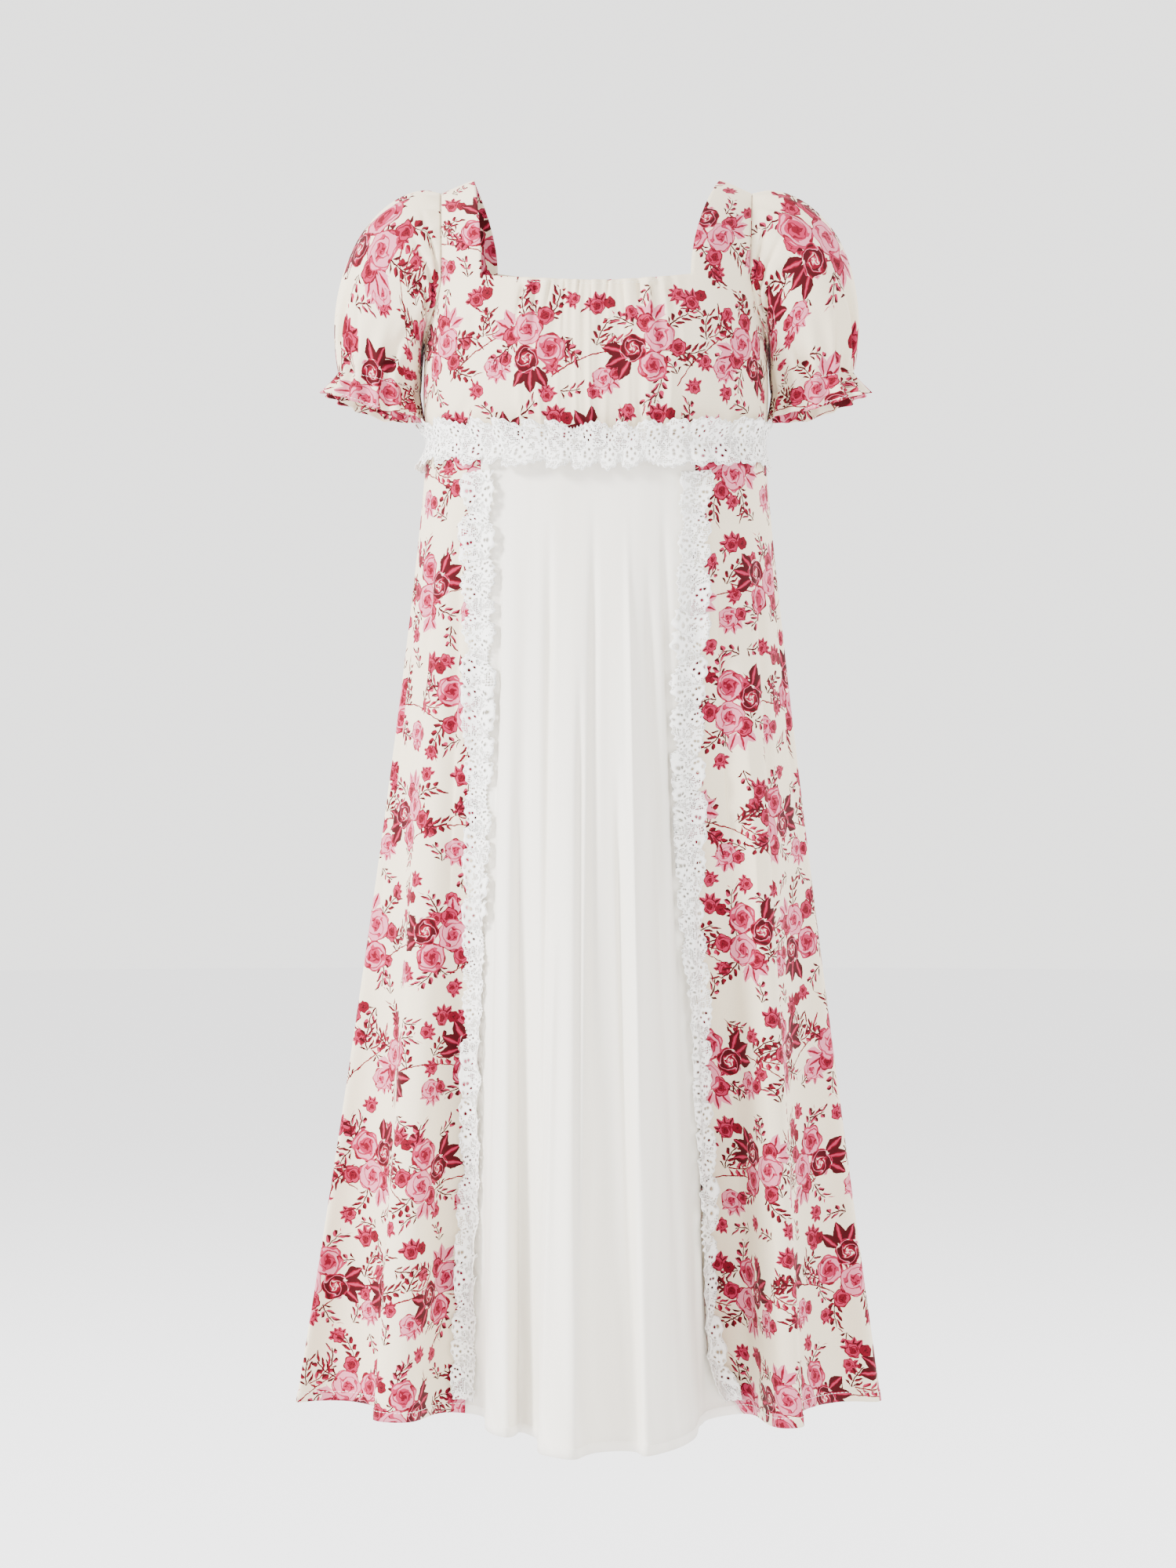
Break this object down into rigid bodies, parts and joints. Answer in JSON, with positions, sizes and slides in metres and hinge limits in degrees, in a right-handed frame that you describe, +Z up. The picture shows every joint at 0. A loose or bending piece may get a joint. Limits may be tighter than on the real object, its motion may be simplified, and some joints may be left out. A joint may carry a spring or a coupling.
{
  "type": "renaissance dress",
  "caption": "Child's empire-line dress, worn pose: square neck, puffed sleeves with ruffled cuffs, gathered bust, plain front panel, lace trim and back zip.",
  "frame": {"origin": "midway between the two shoulder seams, where the wearer's shoulders hold the dress", "axes": "+Z up, +X to the right of a viewer facing the front, front faces -Y"},
  "size_m": [0.448, 0.3623, 0.9451],
  "materials": {
    "printed_cotton": "cream plain weave with a rose print, matt",
    "plain_crepe": "smooth ivory crepe, slight sheen",
    "lace": "white gathered lace",
    "zip_tape": "cream woven tape",
    "zip_metal": "cream enamel, satin"
  },
  "bodies": {
    "dress": {"bodice_front": "printed_cotton", "bodice_back_left": "printed_cotton", "bodice_back_right": "printed_cotton", "sleeve_left": "printed_cotton", "sleeve_right": "printed_cotton", "skirt_front_panel": "plain_crepe", "skirt_front_left": "printed_cotton", "skirt_front_right": "printed_cotton", "skirt_back_left": "printed_cotton", "skirt_back_right": "printed_cotton", "lace_waist": "lace", "lace_left": "lace", "lace_right": "lace", "zip_tape": "zip_tape", "zip_slider": "zip_metal"},
    "zip_pull": {"zip_pull": "zip_metal"}
  },
  "joints": [
    {"name": "pull_tab_swing", "type": "hinge", "parent": "dress", "child": "zip_pull", "pos_m": [0, 0.08839, -0.07745], "axis": [1, 0, 0], "range_deg": [0, 160]}
  ]
}
